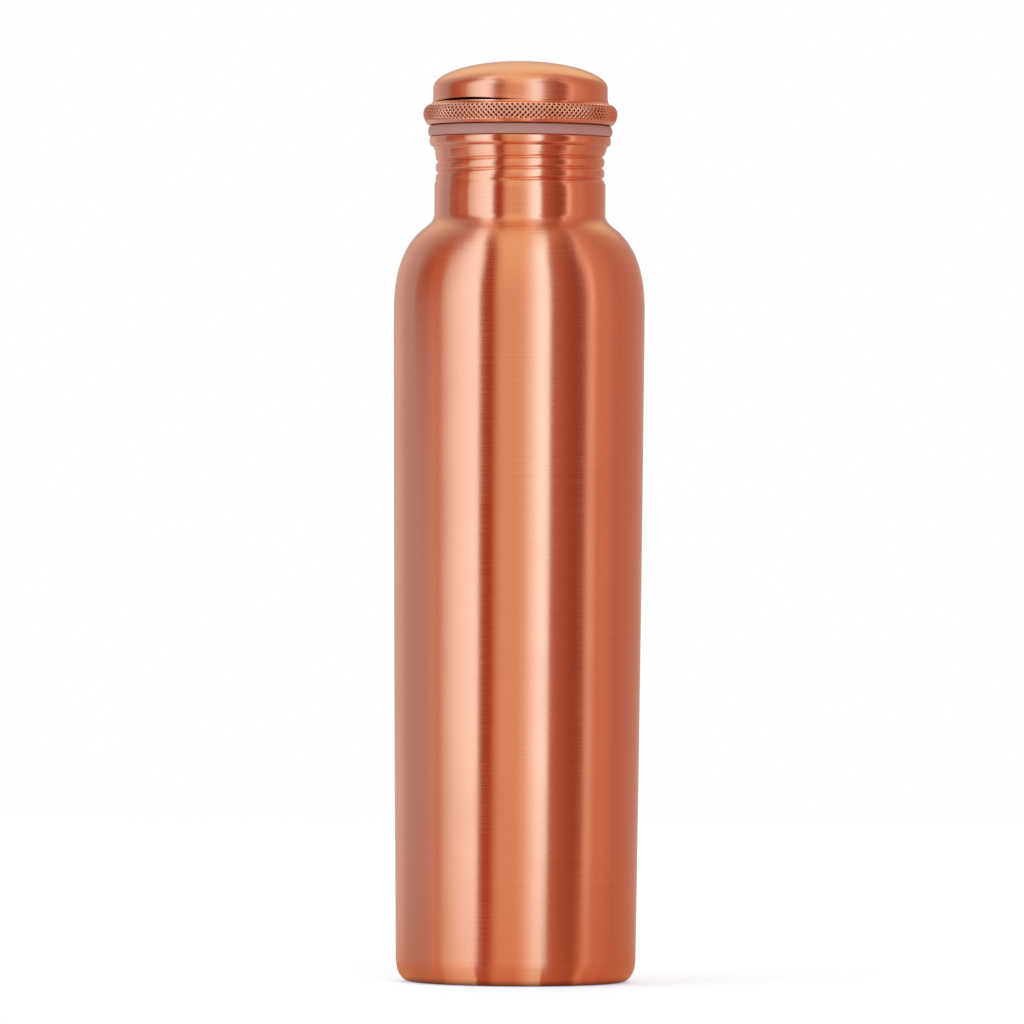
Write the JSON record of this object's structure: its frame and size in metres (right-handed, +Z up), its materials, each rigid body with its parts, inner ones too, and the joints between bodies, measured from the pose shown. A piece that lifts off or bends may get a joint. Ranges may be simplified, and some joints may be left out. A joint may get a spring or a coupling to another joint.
{
  "type": "copper water bottle",
  "caption": "Tall round copper water bottle with a rolled neck thread, a silicone gasket and a domed screw lid on a knurled grip ring.",
  "frame": {"origin": "centre of the contact ring under the base, on the bottle's axis, at the level it stands on", "axes": "+Z up the bottle's axis towards the lid; -Y towards the side where the neck thread starts; +X to the right seen from there"},
  "size_m": [0.0736, 0.0736, 0.27],
  "materials": {
    "brushed_copper": "satin copper, brushed round the body",
    "silicone": "translucent pink-grey silicone",
    "polished_copper": "polished copper with fine turning lines",
    "knurled_copper": "satin copper with a diamond knurl",
    "rolled_copper": "satin copper, rolled thread",
    "plain_copper": "plain satin copper"
  },
  "bodies": {
    "bottle": {"body_shell": "brushed_copper"},
    "gasket_ring": {"gasket": "silicone"},
    "lid": {"lid_dome": "polished_copper", "knurled_collar": "knurled_copper", "threaded_plug": "rolled_copper", "plug_end_disc": "plain_copper"}
  },
  "joints": [
    {"name": "lid_lift", "type": "slide", "parent": "bottle", "child": "gasket_ring", "axis": [0, 0, 1], "range_m": [0, 0.016]},
    {"name": "lid_turn", "type": "hinge", "parent": "gasket_ring", "child": "lid", "pos_m": [0, 0, 0.251], "axis": [0, 0, 1], "range_deg": [0, 1800]}
  ],
  "couplings": [
    {"joint": "lid_lift", "follows": "lid_turn", "m_per_rad": 0.0005093}
  ]
}
